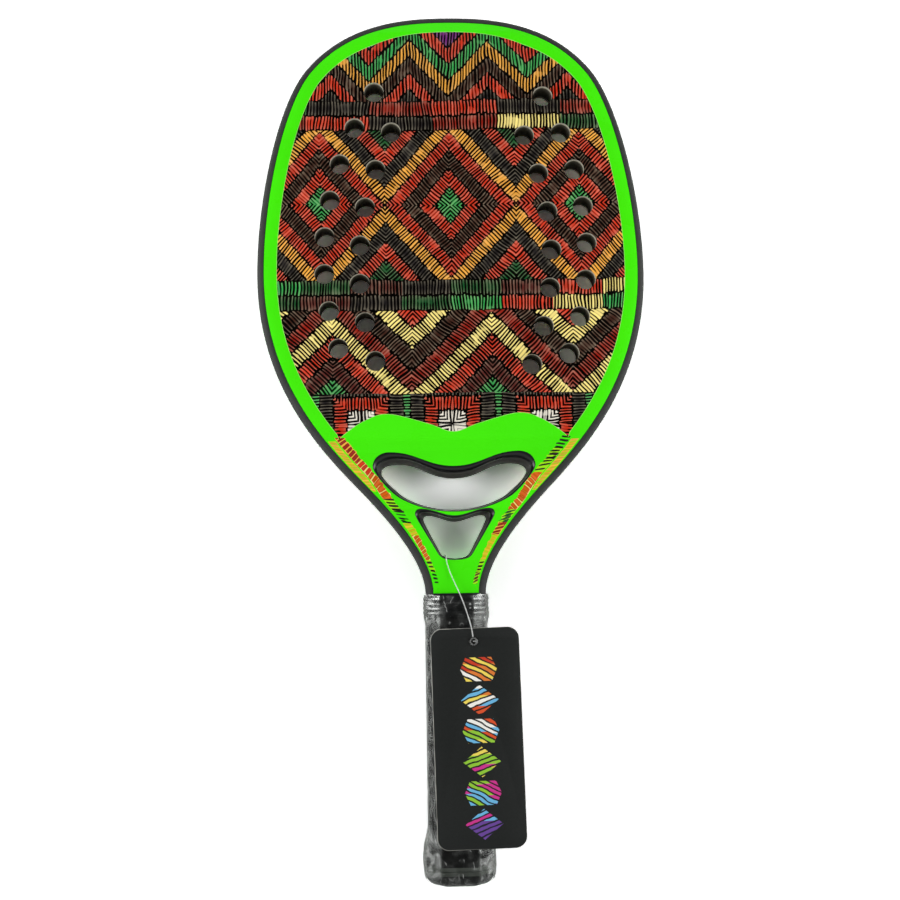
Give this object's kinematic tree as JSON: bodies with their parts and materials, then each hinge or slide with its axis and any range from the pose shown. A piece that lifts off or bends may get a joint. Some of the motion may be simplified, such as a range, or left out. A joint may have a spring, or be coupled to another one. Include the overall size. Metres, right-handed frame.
{
  "type": "beach tennis racket",
  "caption": "Perforated beach racket with a hollow rimmed head, two openings in the throat, and an eight-sided grip in clear film with a hang tag on a clear loop.",
  "frame": {"origin": "the point under the middle of the racket's outer box, on the surface that the racket lies on", "axes": "+Y from the butt of the handle to the top of the head, +X across the head to the right as seen from the front, +Z out of the printed front face"},
  "size_m": [0.225, 0.5, 0.0386],
  "materials": {
    "frame": "dark metallic lacquer on a carbon tube",
    "core_foam": "fine closed-cell foam",
    "face_print": "lacquered sheet printed with a stitched pattern inside a bright green rim",
    "throat_wall": "glossy black",
    "pallet_foam": "moulded foam skin",
    "cap": "moulded, slightly satin",
    "staple": "bright wire",
    "wrap": "fine-grained black grip strip",
    "collar": "matt",
    "clear_film": "thin clear film, wrinkled and glossy",
    "tag_card": "laminated card with coloured hatching",
    "clear_strand": "clear nylon"
  },
  "bodies": {
    "racket": {"frame_hoop": "frame", "foam_core": "core_foam", "front_face": "face_print", "back_face": "face_print", "upper_bridge": "throat_wall", "lower_bridge": "throat_wall", "neck_filler": "core_foam", "pallet_front": "pallet_foam", "pallet_back": "pallet_foam", "butt_cap": "cap", "staple_front": "staple", "staple_back": "staple", "grip_wrap": "wrap", "grip_collar": "collar", "clear_sleeve": "clear_film", "tag_loop": "clear_strand", "loop_lock": "clear_strand"},
    "tag": {"hang_tag": "tag_card"}
  },
  "joints": [
    {"name": "tag_swivel", "type": "hinge", "parent": "racket", "child": "tag", "pos_m": [0.0091, -0.1139, 0.0354], "axis": [0, 0, 1], "range_deg": [-35, 35]}
  ]
}
